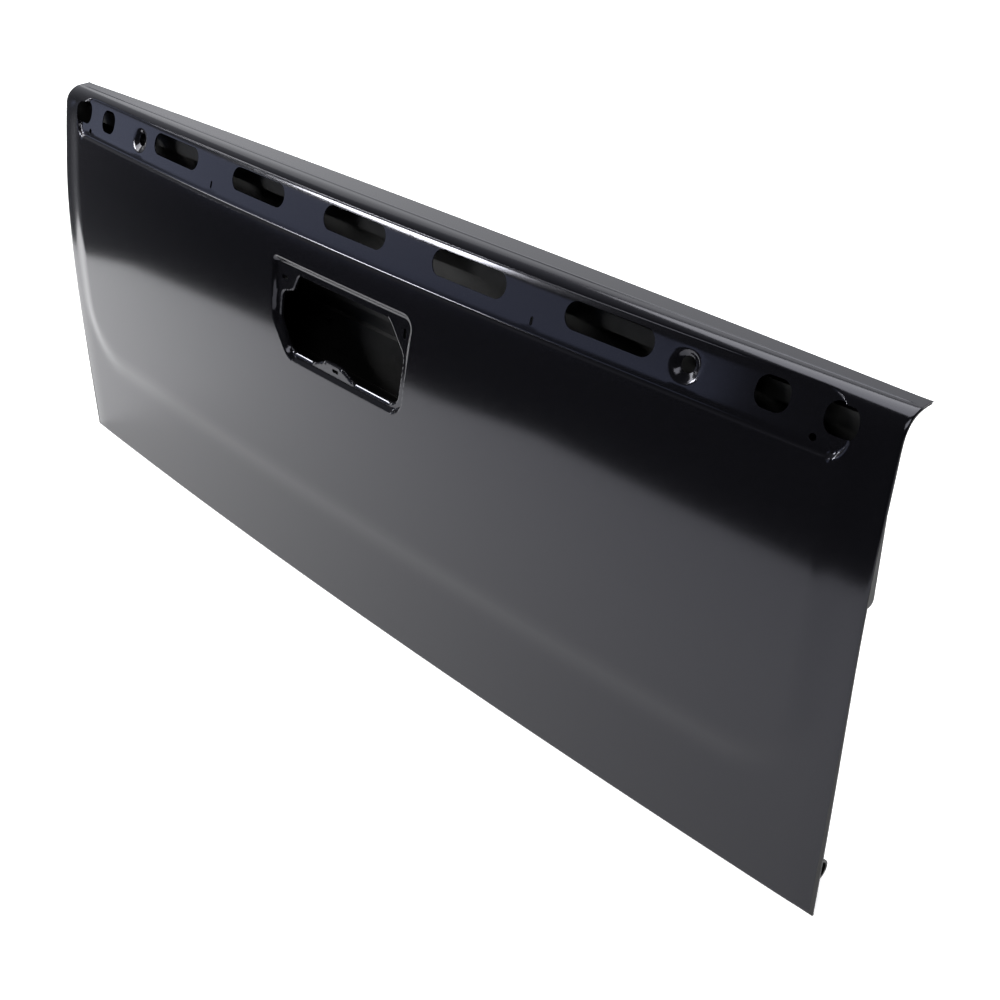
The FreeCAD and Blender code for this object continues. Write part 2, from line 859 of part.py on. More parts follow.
def latch_pad(label, side):
    """Pad raised from the end wall, hollow behind, with the slot for the latch."""
    level = from_top("pad_drop") - dim("pad_tall") / 2
    middle = dim("pad_front") + dim("pad_depth") / 2
    half_depth = cell("pad_depth") * 0.5
    half_tall = cell("pad_tall") * 0.5
    wall = cell("end_wall")
    inset = dim("end_inset")
    body = end_block(label, side, middle, level, inset, half_depth, half_tall, cell("pad_height"), "pad_corner")
    hollow = new_sketch(body, "YZ_Plane", "hollow")
    polygon(hollow, box_corners(half_depth - wall * 2, half_tall - wall * 2))
    cut_out(body, hollow, cell("pad_height") - wall, side > 0)
    slot = new_sketch(body, "YZ_Plane", "slot")
    polygon(slot, box_corners(cell("latch_slot") * 0.5, cell("latch_slot_tall") * 0.5))
    cut_out(body, slot, cell("pad_height") * 2, side > 0)


def hinge_plate(label, side):
    level = dim("hinge_foot") + dim("hinge_tall") / 2
    middle = dim("hinge_front") + dim("hinge_depth") / 2
    half_depth = cell("hinge_depth") * 0.5
    half_tall = cell("hinge_tall") * 0.5
    inset = dim("end_inset")
    end_block(label, side, middle, level, inset, half_depth, half_tall, cell("hinge_plate"), "hinge_corner")


def hinge_cup(label, side):
    """Short tube on the hinge plate that takes the pin of the body side."""
    inset = dim("end_inset") - dim("hinge_plate")
    body = new_body(label, end_placement(side, dim("cup_depth_place"), dim("cup_level"), inset))
    outline = new_sketch(body, "YZ_Plane", "outline")
    circle(outline, ZERO, ZERO, cell("cup_diameter"))
    circle(outline, ZERO, ZERO, cell("cup_bore"))
    pad(body, outline, cell("cup_length"), side < 0)


def cable_plate(label, side):
    """Plate inside the end wall that the support cable is bolted through."""
    inset = dim("end_inset") + dim("end_wall")
    body = new_body(label, end_placement(side, dim("cable_depth"), dim("cable_level"), inset))
    outline = new_sketch(body, "YZ_Plane", "outline")
    polygon(outline, box_corners(cell("cable_plate_width") * 0.5, cell("cable_plate_tall") * 0.5))
    circle(outline, ZERO, ZERO, cell("cable_hole"))
    pad(body, outline, cell("cable_plate"), side > 0)


def corner_gusset(label, side):
    """Triangular tie between the end wall and the bed-side panel."""
    level = from_top("rail_foot_drop") - dim("rail_flange")
    wall_x = side * (end_place(level + dim("brace_wall")) - dim("end_inset") - dim("end_wall"))
    body = new_body(label, at(wall_x, PANEL_FACE, level))
    outline = new_sketch(body, "XY_Plane", "outline")
    polygon(outline, [(ZERO, ZERO), (cell("gusset_leg") * -side, ZERO), (ZERO, -cell("gusset_depth"))])
    pad(body, outline, cell("brace_wall"))


def stiffener(label, place, depth_name):
    """Upright hat section, flanges on the bed-side beads and crest close to the skin."""
    top = from_top("stiffener_top_drop")
    front_depth = skin_depth(place, top) + WALL + dim("mastic_gap")
    rear_depth = PANEL_FACE - dim("bead_depth")
    depth = derived(depth_name, rear_depth - front_depth)
    body = new_body(label, at(place, rear_depth, dim("stiffener_foot")))
    wall = cell("brace_wall")
    half = cell("stiffener_width") * 0.5
    edge = half + cell("stiffener_flange")
    crest = half - cell("stiffener_slope")
    outline = new_sketch(body, "XY_Plane", "outline")
    outer = [(half, -wall), (crest, -depth)]
    inner = [(half - wall, ZERO), (crest - wall, wall - depth)]
    right = outer + [(edge, ZERO), (edge, -wall)] + inner
    left = [(-x, y) for x, y in right]
    polygon(outline, [left[2], left[3], left[0], left[1], right[1], right[0],
                      right[3], right[2], right[4], right[5], left[5], left[4]])
    pad(body, outline, cell("end_height") - cell("stiffener_top_drop") - cell("stiffener_foot"))


def upper_rail():
    """Hat section along the bed-side panel, behind the slots of the band."""
    body = new_body("upper_rail", at(0, PANEL_FACE, from_top("rail_foot_drop")))
    wall = cell("brace_wall")
    depth = cell("rail_setback") - wall
    flange = cell("rail_flange")
    slope = cell("rail_slope")
    top = cell("rail_tall")
    outline = new_sketch(body, "YZ_Plane", "outline")
    polygon(outline, [
        (ZERO, ZERO), (ZERO, flange + wall), (wall - depth, flange + slope + wall),
        (wall - depth, top - flange - slope - wall), (ZERO, top - flange - wall), (ZERO, top),
        (-wall, top), (-wall, top - flange), (-depth, top - flange - slope),
        (-depth, flange + slope), (-wall, flange), (-wall, ZERO),
    ])
    end = end_place(from_top("rail_foot_drop") + dim("rail_tall"))
    half = end - dim("end_inset") - dim("end_wall")
    pad(body, outline, derived("rail_length", half * 2), both_ways=True)


def sill_angle():
    """Angle along the hinge line, on the foot wall and against the bed-side panel."""
    level = dim("foot_wall_level") + dim("panel_wall")
    body = new_body("sill_angle", at(0, PANEL_FACE, level))
    wall = cell("brace_wall")
    leg = cell("sill_leg")
    outline = new_sketch(body, "YZ_Plane", "outline")
    polygon(outline, [(ZERO, ZERO), (ZERO, leg), (-wall, leg), (-wall, wall), (-leg, wall), (-leg, ZERO)])
    pad(body, outline, cell("width_foot") - cell("sill_end_gap") * 2, both_ways=True)


def access_cover():
    """Cover screwed into its seat, with two beads that stand out towards the bed."""
    depth = BED - dim("cover_depth") + dim("panel_wall")
    body = new_body("access_cover", at(0, depth, dim("cover_level")))
    half_width = cell("cover_width") * 0.5
    wall = cell("panel_wall")
    outline = new_sketch(body, "XZ_Plane", "outline")
    polygon(outline, box_corners(half_width, cell("cover_height") * 0.5))
    plate = pad(body, outline, wall)
    doc.recompute()
    round_edges(body, plate, edges_along(plate.Shape, vector(0, 1, 0)), "cover_corner")
    bead_half = cell("cover_bead") * 0.5
    bead_length = half_width - cell("cover_bead_margin")
    for name, share in (("upper", 0.25), ("lower", -0.25)):
        offset = cell("access_height") * share
        bead = new_sketch(body, "XZ_Plane", name)
        polygon(bead, box_corners(bead_length, bead_half, offset))
        pad(body, bead, cell("cover_bead_rise"), True)
        for part, length, reverse in (("floor", wall, False), ("rise", cell("cover_bead_rise") - wall, True)):
            hollow = new_sketch(body, "XZ_Plane", name + "_" + part)
            polygon(hollow, box_corners(bead_length - wall, bead_half - wall, offset))
            cut_out(body, hollow, length, reverse)
    screws = new_sketch(body, "XZ_Plane", "screws")
    for x, z in cover_screw_places():
        circle(screws, Length(x, repr(x)), Length(z, repr(z)), cell("cover_screw"))
    cut_out(body, screws, wall * 2, True)


formed("outer_skin", SKIN)
formed("inner_panel", inner_panel())
formed("foot_wall", foot_wall())
formed("handle_frame", handle_frame())
for side, word in ((-1, "left"), (1, "right")):
    formed(word + "_end_wall", end_wall(side))
    latch_pad(word + "_latch_pad", side)
    hinge_plate(word + "_hinge_plate", side)
    hinge_cup(word + "_hinge_cup", side)
    cable_plate(word + "_cable_plate", side)
    corner_gusset(word + "_corner_gusset", side)
    stiffener(word + "_outer_stiffener", side * dim("stiffener_outer"), word + "_outer_depth")
    stiffener(word + "_inner_stiffener", side * dim("stiffener_inner"), word + "_inner_depth")
upper_rail()
sill_angle()
access_cover()
doc.recompute()


def check_and_write():
    for feature in doc.Objects:
        if "Invalid" in feature.State or "Error" in feature.State:
            raise RuntimeError("failed: " + feature.Label)
    os.makedirs("parts", exist_ok=True)
    for piece in pieces:
        if piece.Shape.isNull() or not piece.Shape.isValid():
            raise RuntimeError("bad shape: " + piece.Label)
        piece.Shape.exportStep("parts/" + piece.Label + ".step")
        print(piece.Label, len(piece.Shape.Solids), round(piece.Shape.Volume))


check_and_write()
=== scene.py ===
import bpy
import math
import numpy as np
from mathutils import Matrix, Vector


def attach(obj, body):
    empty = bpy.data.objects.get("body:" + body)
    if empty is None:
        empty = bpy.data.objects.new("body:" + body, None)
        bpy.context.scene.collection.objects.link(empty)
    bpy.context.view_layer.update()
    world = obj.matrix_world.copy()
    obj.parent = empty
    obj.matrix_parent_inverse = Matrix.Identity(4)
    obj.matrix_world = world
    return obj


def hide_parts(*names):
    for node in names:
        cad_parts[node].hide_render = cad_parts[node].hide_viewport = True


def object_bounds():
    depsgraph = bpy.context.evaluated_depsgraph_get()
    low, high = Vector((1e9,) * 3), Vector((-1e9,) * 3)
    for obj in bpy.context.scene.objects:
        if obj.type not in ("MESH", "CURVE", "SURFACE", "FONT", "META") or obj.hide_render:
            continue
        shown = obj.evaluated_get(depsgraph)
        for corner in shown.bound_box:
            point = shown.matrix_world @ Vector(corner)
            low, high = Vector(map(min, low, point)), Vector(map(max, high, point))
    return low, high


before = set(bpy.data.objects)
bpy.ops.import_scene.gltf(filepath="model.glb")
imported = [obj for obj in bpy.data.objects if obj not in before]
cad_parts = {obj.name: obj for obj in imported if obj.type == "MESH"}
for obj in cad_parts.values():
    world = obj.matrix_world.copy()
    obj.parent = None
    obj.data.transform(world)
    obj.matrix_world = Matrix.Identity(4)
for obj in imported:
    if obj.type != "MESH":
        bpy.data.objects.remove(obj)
cad_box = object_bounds()


# The camera stands to the right of the tailgate, above it and on its outer side.
camera_data = bpy.data.cameras.new("camera")
camera_data.lens = 47.67
camera_data.clip_end = 60
camera_place = (1.28295, -0.97956, 1.15231)
camera_right = (0.6869053, 0.72669125, 0.00899707)
camera_down = (0.38225457, -0.35074188, -0.85490443)
camera_ahead = (-0.61809591, 0.59067755, -0.5187075)
camera = bpy.data.objects.new("camera", camera_data)
bpy.context.scene.collection.objects.link(camera)
turn = Matrix((camera_right, [-part for part in camera_down], [-part for part in camera_ahead])).transposed()
camera.matrix_world = Matrix.Translation(camera_place) @ turn.to_4x4()
bpy.context.scene.camera = camera
bpy.context.scene.view_settings.view_transform = "Standard"


# Studio: a pale paper floor that runs far back behind the tailgate, and soft boxes. The paper ends a
# little in front of it, so that the upper skin mirrors the dark of the room, as in the photograph.
def linear(hex_colour):
    """Linear colour of an sRGB hex value."""
    parts = [int(hex_colour[i:i + 2], 16) / 255 for i in (1, 3, 5)]
    return [part / 12.92 if part <= 0.04045 else ((part + 0.055) / 1.055) ** 2.4 for part in parts] + [1]


def add_node(material, kind, settings=(), links=()):
    """Adds a shader node, sets its properties and sockets by name, and links its inputs."""
    tree = material.node_tree
    node = tree.nodes.new(kind)
    for name, value in dict(settings).items():
        if name in node.inputs:
            node.inputs[name].default_value = value
        else:
            setattr(node, name, value)
    for name, source in dict(links).items():
        tree.links.new(source, node.inputs[name])
    return node


def new_material(name, **settings):
    """A material with its principled shader and Object coordinates."""
    material = bpy.data.materials.new(name)
    material.use_nodes = True
    shader = material.node_tree.nodes["Principled BSDF"]
    for socket, value in settings.items():
        shader.inputs[socket.replace("_", " ")].default_value = value
    place = add_node(material, "ShaderNodeTexCoord").outputs["Object"]
    return material, shader, place


def deselect_all():
    if bpy.context.object and bpy.context.object.mode == "EDIT":
        bpy.ops.object.mode_set(mode="OBJECT")
    bpy.ops.object.select_all(action="DESELECT")


def wear(piece, material):
    piece.data.materials.clear()
    piece.data.materials.append(material)


paper, paper_shader, paper_place = new_material("backdrop_paper", Roughness=0.9)
paper_shader.inputs["Base Color"].default_value = linear("#F4F4F4")
paper_shader.inputs["Emission Color"].default_value = linear("#FFFFFF")
paper_shader.inputs["Emission Strength"].default_value = 0.7
deselect_all()
FLOOR_EDGE = [(-9, 0.2), (-2.4, -0.1), (-1.75, -0.33), (-1.6, -0.5), (-1.2, -0.65), (-0.57, -0.8), (-0.35, -0.93),
              (0.45, -0.93), (1.4, -1.4), (6, -1.4)]
FLOOR_REAR = 9
bpy.ops.mesh.primitive_grid_add(x_subdivisions=len(FLOOR_EDGE) - 1, y_subdivisions=1, size=2)
floor = bpy.context.object
floor.name = "floor"
for vertex in floor.data.vertices:
    edge_x, edge_y = FLOOR_EDGE[round((vertex.co.x + 1) / 2 * (len(FLOOR_EDGE) - 1))]
    vertex.co = (edge_x, edge_y if vertex.co.y < 0 else FLOOR_REAR, 0)
wear(floor, paper)

world = bpy.data.worlds.new("room")
bpy.context.scene.world = world
world.use_nodes = True
ray = add_node(world, "ShaderNodeTexCoord").outputs["Generated"]
rearward = add_node(world, "ShaderNodeVectorMath", {"operation": "DOT_PRODUCT"}, {0: ray})
rearward.inputs[1].default_value = (-0.45, 0.9, 0)
glow = add_node(world, "ShaderNodeMapRange", {
    "interpolation_type": "SMOOTHSTEP", "From Min": -0.15, "From Max": 0.85, "To Min": 0.02, "To Max": 0.75},
    {"Value": rearward.outputs["Value"]})
world.node_tree.nodes["Background"].inputs["Color"].default_value = linear("#EEF0F8")
world.node_tree.links.new(glow.outputs["Result"], world.node_tree.nodes["Background"].inputs["Strength"])


def soft_box(name, place, aim, width, height, power):
    light_data = bpy.data.lights.new(name, "AREA")
    light_data.shape = "RECTANGLE"
    light_data.size = width
    light_data.size_y = height
    light_data.energy = power
    light = bpy.data.objects.new(name, light_data)
    bpy.context.scene.collection.objects.link(light)
    away = Matrix.Translation(place).translation - Matrix.Translation(aim).translation
    light.matrix_world = Matrix.Translation(place) @ away.to_track_quat("Z", "Y").to_matrix().to_4x4()
    return light


soft_box("key_box", (1.0, -1.5, 2.6), (-1.4, -0.6, 0.8), 1.6, 1.2, 30)
soft_box("top_box", (-0.6, 1.4, 4.2), (-0.8, 1.2, 0), 3.5, 2.5, 130)
soft_box("back_box", (-4.4, 3.9, 3.4), (-3.4, 3.2, 0), 5.5, 4.5, 60)
soft_box("floor_box", (-1.9, -1.0, 1.6), (-1.4, -0.4, 0), 1.2, 0.7, 22)
soft_box("side_box", (-2.94, -2.60, 1.92), (0, 0, 0.59), 1.05, 0.6, 110)
wall = soft_box("wall_strip", (-3.1, -3.0, 0.78), (0, 0, 0.59), 4.0, 1.2, 15)
wall.data.color = linear("#D2DCFF")[:3]


# Outer skin: one deep-drawn sheet of mild steel, 1.2 mm here, black from the dip-coating bath. The die
# gives it the crown, the raised field, the sunk band and the handle recess; holes are pierced after.
MM = 0.001
SHELL_DEPTH = 71
REAR = cad_box[1].y / MM
HALF_FOOT, HALF_TOP, END_BULGE = 790, 775, 3.7
END_HEIGHT, TOP_RISE = 608, 6
CROWN_FOOT, CROWN_TOP, BELLY = 17.5, 27, 2.3
LEAN_TOP, LEAN_POWER, LEAN_END = 44, 5, 560
RELIEF, RELIEF_HEIGHT = 8.8, 108
NOSE_RADIUS, LEDGE_SLOPE = 30, math.radians(3)
SHEET = 1.2
BAND_TILT = math.radians(19.5)
BAND_BEND, BAND_FLOOR = 556, 1.0
FIELD_RISE = 3.5
HANDLE_FLOOR = 3
BAND_CURL, CURL_START = 0.0125, 594


def fade(x):
    return 1 - (x / HALF_FOOT) ** 2


def skin_depth(x, z):
    """Depth of the leaning, crowned surface, from the front plane towards the bed."""
    share = z / END_HEIGHT
    crown = (CROWN_FOOT + (CROWN_TOP - CROWN_FOOT) * share) * fade(x)
    above = np.maximum(z - END_HEIGHT + RELIEF_HEIGHT, 0) / RELIEF_HEIGHT
    relief = RELIEF * above ** 1.5 * (1 - fade(x))
    return LEAN_TOP * share ** LEAN_POWER - BELLY - crown - relief


def end_place(z):
    """Where the skin ends along the tailgate, at a height."""
    share = z / END_HEIGHT
    return HALF_FOOT - (HALF_FOOT - HALF_TOP) * share + END_BULGE * 4 * share * (1 - share)


# Rows of the flat blank, in millimetres up from the foot: lean, climb to the nose, nose, ledge.
CLIMB, NOSE, LEDGE = 586, 624, 662


def nose_section(x):
    """Direction and start of the climb, start, centre and bend of the nose, and the rear edge."""
    start = skin_depth(x, np.full_like(x, LEAN_END))
    climb = np.stack([skin_depth(x, np.full_like(x, LEAN_END + 1.0)) - start, np.ones_like(x)])
    climb /= np.hypot(*climb)
    ledge = np.array([math.cos(LEDGE_SLOPE), math.sin(LEDGE_SLOPE)]).reshape(2, 1)
    first = np.stack([start, np.full_like(x, LEAN_END)])
    rear = np.stack([np.full_like(x, SHELL_DEPTH), END_HEIGHT + TOP_RISE * fade(x)])
    across = ledge[0] * climb[1] - ledge[1] * climb[0]
    gap = rear - first
    corner = first + climb * ((ledge[0] * gap[1] - ledge[1] * gap[0]) / across)
    bend = np.arccos((climb * ledge).sum(0))
    nose_start = corner - climb * (NOSE_RADIUS * np.tan(bend / 2))
    inward = np.stack([climb[1], -climb[0]])
    return climb, first, nose_start, nose_start + inward * NOSE_RADIUS, bend, rear


def base_depth(x, z):
    """Depth of the undrawn surface at a height below the top of the nose."""
    climb, first, nose_start, centre, _, _ = nose_section(x)
    on_climb = first[0] + (z - LEAN_END) * climb[0] / climb[1]
    rise = np.clip(z - centre[1], -NOSE_RADIUS, NOSE_RADIUS)
    on_nose = centre[0] - np.sqrt(NOSE_RADIUS ** 2 - rise ** 2)
    return np.where(z < LEAN_END, skin_depth(x, z), np.where(z < nose_start[1], on_climb, on_nose))


def base_surface(x, v):
    """Depth and height of the undrawn surface at a place of the blank."""
    climb, first, nose_start, centre, bend, rear = nose_section(x)
    inward = np.stack([climb[1], -climb[0]])
    angle = np.clip((v - CLIMB) / (NOSE - CLIMB), 0, 1) * bend
    on_nose = centre - inward * (NOSE_RADIUS * np.cos(angle)) + climb * (NOSE_RADIUS * np.sin(angle))
    on_climb = first + (nose_start - first) * np.clip((v - LEAN_END) / (CLIMB - LEAN_END), 0, 1)
    nose_end = centre - inward * (NOSE_RADIUS * np.cos(bend)) + climb * (NOSE_RADIUS * np.sin(bend))
    on_ledge = nose_end + (rear - nose_end) * np.clip((v - NOSE) / (LEDGE - NOSE), 0, 1)
    place = np.where(v > CLIMB, on_nose, on_climb)
    place = np.where(v > NOSE, on_ledge, place)
    depth = np.where(v < LEAN_END, skin_depth(x, np.minimum(v, LEAN_END)), place[0])
    return depth, np.where(v < LEAN_END, v, place[1])


def rounded(corners, arc_steps=14):
    """Closed outline through (x, z, radius) corners, as an array of points."""
    points = []
    for index, (x, z, radius) in enumerate(corners):
        corner = np.array((x, z), float)
        before = np.array(corners[index - 1][:2]) - corner
        after = np.array(corners[(index + 1) % len(corners)][:2]) - corner
        before /= np.hypot(*before)
        after /= np.hypot(*after)
        half = math.acos(np.clip(before @ after, -1, 1)) / 2
        tangent = radius / math.tan(half)
        middle = corner + (before + after) / np.hypot(*(before + after)) * radius / math.sin(half)
        begin = corner + before * tangent - middle
        end = corner + after * tangent - middle
        sweep = math.atan2(begin[0] * end[1] - begin[1] * end[0], begin @ end)
        for step in range(arc_steps + 1):
            turned = sweep * step / arc_steps
            points.append(middle + (begin[0] * math.cos(turned) - begin[1] * math.sin(turned),
                                    begin[0] * math.sin(turned) + begin[1] * math.cos(turned)))
    return np.array(points)


def rectangle(x, z, width, tall, radius):
    left, right, low, high = x - width / 2, x + width / 2, z - tall / 2, z + tall / 2
    return rounded([(left, low, radius), (right, low, radius), (right, high, radius), (left, high, radius)])


def nearest(x, z, outline):
    """Nearest points of an outline, and distances to it, positive inside."""
    after = np.roll(outline, -1, axis=0)
    best = np.full(x.shape, 1e9)
    near = np.zeros((2,) + x.shape)
    inside = np.zeros(x.shape, bool)
    for (ax, az), (bx, bz) in zip(outline, after):
        run = (bx - ax) ** 2 + (bz - az) ** 2
        share = np.clip(((x - ax) * (bx - ax) + (z - az) * (bz - az)) / max(run, 1e-9), 0, 1)
        px, pz = ax + share * (bx - ax), az + share * (bz - az)
        away = np.hypot(x - px, z - pz)
        closer = away < best
        best = np.where(closer, away, best)
        near = np.where(closer, np.stack([px, pz]), near)
        if az != bz:
            crossing = (az > z) != (bz > z)
            inside ^= crossing & (x < (bx - ax) * (z - az) / (bz - az) + ax)
    return near, np.where(inside, best, -best)


def distance(x, z, outline):
    """Distance to an outline; places far outside its box only get the distance to the box."""
    low, high = outline.min(0), outline.max(0)
    box = np.maximum.reduce([low[0] - x, x - high[0], low[1] - z, z - high[1]])
    found = -np.abs(box)
    close = box < 40
    found[close] = nearest(x[close], z[close], outline)[1]
    return found


def ramp(amount, low, high):
    share = np.clip((amount - low) / (high - low), 0, 1)
    return share * share * (3 - 2 * share)


FIELD = rounded([(-740, 168, 95), (740, 168, 95), (740, 575, 22), (-740, 575, 22)])
BAND = rounded([(-728, 544, 22), (728, 544, 22), (725, 604, 38), (-725, 604, 38)])
HANDLE_CORNERS = [(-118.2, 372, 26), (121.1, 372, 26), (138, 508, 16.9), (-152, 508, 7.8), (-152, 424, 44.2)]
HANDLE = rounded(HANDLE_CORNERS)
MOUTH = rounded([
    (-121, 380, 22), (-67, 380, 25), (-41, 392, 25), (-7, 392, 25), (19, 380, 25), (108, 380, 20),
    (119, 451, 20), (87, 492, 14), (-102, 492, 11), (-113, 468, 12), (-138.6, 460.3, 12), (-143, 423, 22)])
SLOTS = [rectangle(x, 582, 124, 30.2, 15) for x in (-427, -212, 0, 212, 427)]
ROUND_HOLES = [rectangle(x, 580, 39.5, 32, 13.5) for x in (-713, -635, 635, 713)]
PIN_HOLES = [rectangle(x, 556, 8, 7.6, 3.7) for x in (-689, 689)]
NOTCHES = [rectangle(x, 560, 4, 10, 1.5) for x in (-322, 322)]
DIMPLES = [(-532, 575), (532, 575)]
DIMPLE_HOLES = [rectangle(x, z, 18, 17, 8.4) for x, z in DIMPLES]
FLANGE_SLOTS = [rectangle(-132.5, 482, 13, 5, 2), rectangle(-19, 384, 13, 5, 2), rectangle(119, 482, 5, 13, 2)]
BAND_CREASE = (598, 611)
LIP_RADIUS, LIP_LENGTH = 1.8, 3.4
HEM_RADIUS = 1.6
END_ROLL_START, END_ROLL_DEPTH = 748, 1.5
LEDGE_RIDGE, RIDGE_HALF, RIDGE_HEIGHT = 630, 2.2, 0.5
TAPER_START = 746


def drawn_surface(x, v):
    """Depth and height of the finished skin at a place of the blank."""
    depth, z = base_surface(x, v)
    upright = (1 - ramp(v, *BAND_CREASE)) * (v > LEAN_END)
    z = z + (v - z) * upright
    depth = np.where(upright > 0, base_depth(x, z), depth)
    raised = depth - FIELD_RISE * ramp(distance(x, z, FIELD), -24, 20) * (v < CLIMB + 12)
    bend = np.minimum(z, BAND_BEND)
    band_floor = skin_depth(x, bend) + np.maximum(z - BAND_BEND, 0) * math.tan(BAND_TILT) + BAND_FLOOR
    band_floor = band_floor + BAND_CURL * np.maximum(z - CURL_START, 0) ** 2
    soft = 0.3 + 0.8 * fade(x)
    below_nose = (depth + band_floor + np.hypot(depth - band_floor, soft)) / 2
    into_band = ramp(distance(x, z, BAND), -1.0, 1.9) * (v < NOSE)
    depth = raised + (below_nose - raised) * into_band
    gentle = ramp(z + 0.12 * x, 425, 480)
    inward = distance(x, z, HANDLE)
    into_handle = ramp((inward + 1.2 + 1.8 * gentle) / (4.0 + 6.0 * gentle), 0, 1)
    depth = depth + (skin_depth(x, z) + HANDLE_FLOOR - depth) * into_handle * (v < LEAN_END)
    over_lip = np.clip(distance(x, z, MOUTH) + LIP_RADIUS, 0, LIP_RADIUS)
    depth = depth + (LIP_RADIUS - np.sqrt(LIP_RADIUS ** 2 - over_lip ** 2)) * (v < LEAN_END)
    for dimple_x, dimple_z in DIMPLES:
        reach = np.hypot(x - dimple_x, (z - dimple_z) / math.cos(BAND_TILT))
        depth = depth + 5.4 * ramp(-reach, -19.5, -7.5)
    depth = depth + END_ROLL_DEPTH * (np.maximum(np.abs(x) - END_ROLL_START, 0) / (HALF_FOOT - END_ROLL_START)) ** 2
    z = z + RIDGE_HEIGHT * ramp(-np.abs(v - LEDGE_RIDGE), -RIDGE_HALF, 0) * ramp(-np.abs(x), -770, -740)
    past_end = np.clip(np.abs(x) - end_place(z) + HEM_RADIUS, 0, HEM_RADIUS)
    past_foot = np.clip(HEM_RADIUS - v, 0, HEM_RADIUS)
    for past in (past_end, past_foot):
        depth = depth + HEM_RADIUS - np.sqrt(HEM_RADIUS ** 2 - past ** 2)
    return depth, z


def mesh_points(piece):
    points = np.zeros(len(piece.data.vertices) * 3)
    piece.data.vertices.foreach_get("co", points)
    return points.reshape(-1, 3)


def set_points(piece, points):
    piece.data.vertices.foreach_set("co", points.ravel())
    piece.data.update()


def select_faces(piece, chosen):
    """Selects only the chosen faces, in face mode, and enters edit mode."""
    bpy.context.tool_settings.mesh_select_mode = (False, False, True)
    piece.data.vertices.foreach_set("select", np.zeros(len(piece.data.vertices), bool))
    piece.data.edges.foreach_set("select", np.zeros(len(piece.data.edges), bool))
    piece.data.polygons.foreach_set("select", chosen)
    bpy.ops.object.mode_set(mode="EDIT")


def face_centres(piece):
    centres = np.zeros(len(piece.data.polygons) * 3)
    piece.data.polygons.foreach_get("center", centres)
    return centres.reshape(-1, 3) / MM


def face_areas(piece):
    areas = np.zeros(len(piece.data.polygons))
    piece.data.polygons.foreach_get("area", areas)
    return areas / MM ** 2


def refine(piece, wanted, rounds):
    """Splits the blank's faces where the wanted size, in millimetres, is smaller than theirs."""
    for _ in range(rounds):
        centres = face_centres(piece)
        coarse = np.sqrt(face_areas(piece)) > wanted(centres[:, 0], centres[:, 1]) * 1.42
        if not coarse.any():
            return
        select_faces(piece, coarse)
        bpy.ops.mesh.subdivide(number_cuts=1)
        bpy.ops.object.mode_set(mode="OBJECT")


RIM_REACH = 2.2


def pierce(piece, outlines):
    """Punches holes in the flat blank, and draws the torn edge onto each outline."""
    centres = face_centres(piece)
    gone = np.zeros(len(centres), bool)
    for outline in outlines:
        gone |= distance(centres[:, 0], centres[:, 1], outline) > 0
    select_faces(piece, gone)
    bpy.ops.mesh.delete(type="FACE")
    bpy.ops.object.mode_set(mode="OBJECT")
    points = mesh_points(piece)
    x, z = points[:, 0] / MM, points[:, 1] / MM
    rim = rim_vertices(piece)
    for outline in outlines:
        low, high = outline.min(0) - 4, outline.max(0) + 4
        near_it = rim & (x > low[0]) & (x < high[0]) & (z > low[1]) & (z < high[1])
        near, away = nearest(x[near_it], z[near_it], outline)
        own = np.flatnonzero(near_it)[np.abs(away) < RIM_REACH]
        near = near[:, np.abs(away) < RIM_REACH]
        points[own, 0], points[own, 1] = near[0] * MM, near[1] * MM
    set_points(piece, points)


def rim_vertices(piece):
    """Vertices on an open edge of the sheet."""
    edges = np.zeros(len(piece.data.edges) * 2, int)
    piece.data.edges.foreach_get("vertices", edges)
    edges = np.sort(edges.reshape(-1, 2), axis=1)
    loops = np.zeros(len(piece.data.loops), int)
    piece.data.loops.foreach_get("edge_index", loops)
    open_edges = np.bincount(loops, minlength=len(edges)) == 1
    on_rim = np.zeros(len(piece.data.vertices), bool)
    on_rim[edges[open_edges].ravel()] = True
    return on_rim


def blank(name, columns, rows):
    """Flat grid with columns and rows at the given places, in millimetres."""
    deselect_all()
    bpy.ops.mesh.primitive_grid_add(x_subdivisions=len(columns) - 1, y_subdivisions=len(rows) - 1, size=2)
    piece = bpy.context.object
    piece.name = piece.data.name = name
    points = mesh_points(piece)
    across = np.rint((points[:, 0] + 1) / 2 * (len(columns) - 1)).astype(int)
    up = np.rint((points[:, 1] + 1) / 2 * (len(rows) - 1)).astype(int)
    points[:, 0] = np.array(columns)[across] * MM
    points[:, 1] = np.array(rows)[up] * MM
    set_points(piece, points)
    return piece


def steps(low, high, size):
    return list(np.linspace(low, high, max(2, round((high - low) / size) + 1)))


def use_modifier(piece, kind, **settings):
    """Adds a modifier and applies it."""
    deselect_all()
    piece.select_set(True)
    bpy.context.view_layer.objects.active = piece
    modifier = piece.modifiers.new(kind.lower(), kind)
    for name, value in settings.items():
        setattr(modifier, name, value)
    bpy.ops.object.modifier_apply(modifier=modifier.name)


ROWS = [0.0, 0.8, 1.6, 4] + steps(12, 532, 13) + steps(538, CLIMB, 4.8)
ROWS += steps(CLIMB + 2, NOSE, 1.9) + steps(NOSE + 2, NOSE + 10, 1) + steps(NOSE + 15, LEDGE, 6)
END_COLUMNS = steps(708, 746, 2) + steps(754, 778, 8) + [784, 788.4, 789.2, 790]
COLUMNS = [-x for x in reversed(END_COLUMNS)] + steps(-700, 700, 10) + END_COLUMNS
HOLES = SLOTS + ROUND_HOLES + PIN_HOLES + NOTCHES + DIMPLE_HOLES + FLANGE_SLOTS + [MOUTH]


